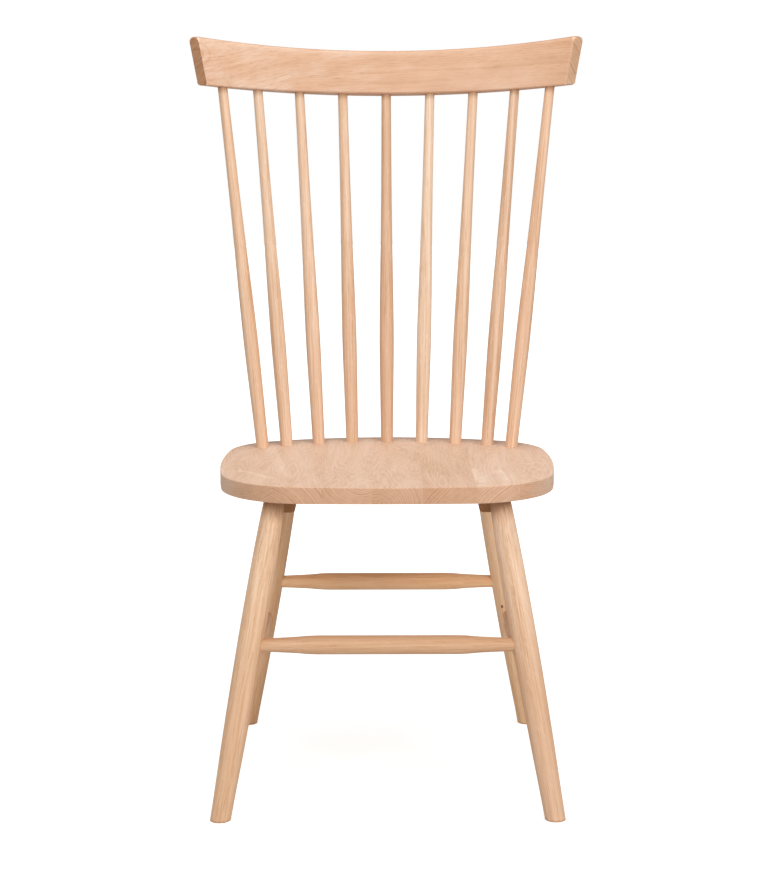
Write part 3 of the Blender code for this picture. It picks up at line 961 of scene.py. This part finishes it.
def crest_straightened(tree, at):
    """A place in the bent board as if it lay straight: through it, up it, and along its grain."""
    x, y, z = parts(tree, at)
    turn = reckon(tree, "ARCTAN2", x, y)
    run = times(tree, turn, crest_bend_radius)
    radius = measure(tree, "LENGTH", joined(tree, x, y))
    through = reckon(tree, "SUBTRACT", radius, crest_bend_radius)
    bow = times(tree, turn, turn, straight_grain * crest_bend_radius / 2)
    return joined(tree, reckon(tree, "ADD", through, bow),
                  reckon(tree, "SUBTRACT", z, grain_rise(tree, run)), run)


left_half_end = (-0.16, 0.02)
fleck_rise = radians(16.0)
fleck_waves = (30.0, 115.0, 15.0)
fleck_rays = (0.38, 0.74)
fleck_patch_waves = 34.0
fleck_patches = (0.44, 0.60)
fleck_strengths = (0.10, 0.85)
left_paleness = 0.62
cloud_waves_along = 16.0
cloud_waves_up = 38.0
cloud_strength = 2.2
cloud_level = -1.34
cloud_tint = (1.08, 1.21, 1.36)
between_clouds_tint = (0.90, 0.86, 0.82)
dash_spots = (0.54, 0.70)
dash_strengths = (0.5, 1.1)
dash_tint = (0.93, 0.89, 0.84)
eye_run = -0.305
eye_up = 0.046
eye_rings = 0.0115
eye_squeeze = 1.5
eye_line_fall = (0.0, 0.26)
eye_reach = (0.022, 0.036)
eye_tint = (0.86, 0.77, 0.69)


def crest_clouds(tree, at, run, up, colour):
    """Soft pale clouds, and pale flecks of ray that rise to the right on the left half."""
    on_left = all_but(tree, step_up(tree, run, *left_half_end))
    rising = add_node(tree, "VectorRotate", {"Vector": at, "Axis": (1.0, 0.0, 0.0),
                                             "Angle": fleck_rise}, rotation_type="AXIS_ANGLE")
    rising = reckon_vector(tree, "MULTIPLY", rising.outputs[0], fleck_waves)
    patches = step_up(tree, noise(tree, at, scale=fleck_patch_waves), *fleck_patches)
    flecks = times(tree, step_up(tree, noise(tree, rising), *fleck_rays), patches,
                   between(tree, on_left, *fleck_strengths))
    broad = noise(tree, joined(tree, times(tree, run, cloud_waves_along),
                               times(tree, up, cloud_waves_up)))
    pale = reckon(tree, "ADD", flecks, times(tree, on_left, left_paleness))
    pale = reckon(tree, "ADD", pale,
                  reckon(tree, "MULTIPLY_ADD", broad, cloud_strength, cloud_level))
    dashes = step_up(tree, grain_noise(tree, at, across=800.0, along=60.0, detail=1.0),
                     *dash_spots)
    dashes = times(tree, dashes, between(tree, on_left, *dash_strengths))
    colour = tinted(tree, dashes, colour, dash_tint)
    colour = tinted(tree, times(tree, pale, -1.0), colour, between_clouds_tint)
    return tinted(tree, pale, colour, cloud_tint)


def crest_eye(tree, run, up, colour):
    """Rings about the place where the grain turns, near the left end."""
    above = reckon(tree, "SUBTRACT", up, back_height + eye_up)
    away = measure(tree, "LENGTH", joined(tree, reckon(tree, "SUBTRACT", run, eye_run),
                                          times(tree, above, eye_squeeze)))
    season = reckon(tree, "FRACT", reckon(tree, "DIVIDE", away, eye_rings))
    season = reckon(tree, "ABSOLUTE", reckon(tree, "SUBTRACT", season, 0.5))
    line = times(tree, all_but(tree, step_up(tree, season, *eye_line_fall)),
                 all_but(tree, step_up(tree, away, *eye_reach)))
    return tinted(tree, line, colour, eye_tint)


roll_rise = (0.0025, 0.0050)
roll_fall = (0.0065, 0.0105)
roll_middle = (0.25, 0.75)
painted_roll_highlight = (1.05, 1.10, 1.15)
top_edge = (0.0, 0.0032)
painted_top_edge_shade = (0.74, 0.62, 0.52)


def crest_painted_edge_light(tree, side, up, colour):
    """Painted shade along the rounded upper edge's line, and a painted highlight just below it, in
    the middle.
    """
    top = reckon(tree, "MULTIPLY_ADD", times(tree, side, side), crest_horn,
                 back_height + crest_height)
    from_top = reckon(tree, "SUBTRACT", top, up)
    highlight = times(tree, band(tree, from_top, roll_rise, roll_fall),
                 all_but(tree, step_up(tree, reckon(tree, "ABSOLUTE", side), *roll_middle)))
    colour = tinted(tree, highlight, colour, painted_roll_highlight)
    return tinted(tree, all_but(tree, step_up(tree, from_top, *top_edge)), colour,
                  painted_top_edge_shade)


arris_rise = (-0.20, 0.0)
arris_fall = (0.50, 0.62)
arris_start = (0.90, 0.95)
front_facing = (-0.3, -0.6)
arris_highlight_tint = (1.30, 1.42, 1.55)
end_facing = (0.48, 0.62)
left_end_shade_tint = (0.90, 0.81, 0.72)
right_end_light_tint = (1.17, 1.36, 1.58)


def crest_painted_end_light(tree, run, side, colour):
    """A painted highlight on the eased corners in front of the ends, painted shade on the left
    end, and painted light on the right one.
    """
    rightward, rearward, _ = parts(tree, surface(tree, "Normal"))
    outward = times(tree, rightward, reckon(tree, "SIGN", run))
    arris_highlight = times(tree, band(tree, outward, arris_rise, arris_fall),
                  step_up(tree, reckon(tree, "ABSOLUTE", side), *arris_start),
                  step_up(tree, rearward, *front_facing))
    colour = tinted(tree, arris_highlight, colour, arris_highlight_tint)
    leftward = times(tree, rightward, -1.0)
    colour = tinted(tree, step_up(tree, leftward, *end_facing), colour, left_end_shade_tint)
    return tinted(tree, step_up(tree, rightward, *end_facing), colour, right_end_light_tint)


def crest_shades(tree, at, colour):
    """All that tells the crest's places apart, from where they lie along it and up it, with
    painted light and shade at its top edge and ends.
    """
    _, up, run = parts(tree, at)
    up = reckon(tree, "ADD", up, grain_rise(tree, run))
    side = reckon(tree, "DIVIDE", run, crest_length / 2)
    colour = crest_clouds(tree, at, run, up, colour)
    colour = crest_eye(tree, run, up, colour)
    colour = crest_painted_edge_light(tree, side, up, colour)
    return crest_painted_end_light(tree, run, side, colour)


crest_oak = oak_material("crest oak", back_frame(), (-0.120, 0.330, 103.0),
                         lean=(0.010, 0.040, 0.0), grain=(1.25, 0.0, 0.0), ring=0.0038,
                         rings=0.15, streaks=0.30, rays=0.1, wood=(0.742, 0.462, 0.306),
                         end_tint=(0.86, 0.74, 0.62), straighten=crest_straightened,
                         tint=crest_shades)
finished("crest_rail_sanded", bm, ["crest_rail"], crest_oak)


# Studio
# A white floor in a white surround, one large soft lamp above, and two smaller ones in front, of
# which the right one is the stronger. The white that the camera sees is the floor's glow and the
# surround's own colour.

floor_half_width = 12.0
floor_grey = (0.72, 0.72, 0.72, 1.0)
white = (1.0, 1.0, 1.0, 1.0)
glow_rise = (0.5, 1.6)
glow_strengths = (0.66, 1.02)

floor_white = bpy.data.materials.new("floor white")
floor_white.use_nodes = True
floor_tree = floor_white.node_tree
floor_shader = floor_tree.nodes["Principled BSDF"]
floor_shader.inputs["Base Color"].default_value = floor_grey
floor_shader.inputs["Roughness"].default_value = 0.9
floor_shader.inputs["Specular IOR Level"].default_value = 0.0
floor_shader.inputs["Emission Color"].default_value = white
from_chair = measure(floor_tree, "LENGTH", surface(floor_tree, "Object"))
glow = between(floor_tree, step_up(floor_tree, from_chair, *glow_rise), *glow_strengths)
seen = add_node(floor_tree, "LightPath").outputs["Is Camera Ray"]
floor_tree.links.new(times(floor_tree, seen, glow), floor_shader.inputs["Emission Strength"])

floor_mesh = bpy.data.meshes.new("floor")
bm = bmesh.new()
bmesh.ops.create_grid(bm, x_segments=1, y_segments=1, size=floor_half_width)
bm.to_mesh(floor_mesh)
bm.free()
floor_mesh.materials.append(floor_white)
floor = bpy.data.objects.new("floor", floor_mesh)
bpy.context.scene.collection.objects.link(floor)

ambient = 0.35
surround = bpy.data.worlds.new("white surround")
surround.use_nodes = True
bpy.context.scene.world = surround
sky = surround.node_tree
paths = add_node(sky, "LightPath").outputs
shown = reckon(sky, "MAXIMUM", reckon(sky, "MAXIMUM", paths["Is Camera Ray"],
                                      paths["Is Glossy Ray"]), paths["Is Transmission Ray"])
background = sky.nodes["Background"]
background.inputs["Color"].default_value = white
sky.links.new(between(sky, shown, ambient, 1.0), background.inputs["Strength"])

lamp_target = Vector((0.0, 0.0, 0.45))
for name, place, size, power in (("soft lamp above", (0.1, -0.3, 2.8), 1.8, 26.0),
                                 ("soft lamp left", (-1.3, -2.9, 1.9), 1.2, 26.0),
                                 ("soft lamp right", (2.0, -2.6, 1.9), 1.2, 41.0)):
    lamp_data = bpy.data.lights.new(name, "AREA")
    lamp_data.shape = "SQUARE"
    lamp_data.size = size
    lamp_data.energy = power
    lamp = bpy.data.objects.new(name, lamp_data)
    lamp.location = place
    lamp.rotation_euler = (lamp_target - lamp.location).to_track_quat("-Z", "Y").to_euler()
    bpy.context.scene.collection.objects.link(lamp)

bpy.context.scene.view_settings.view_transform = "Standard"
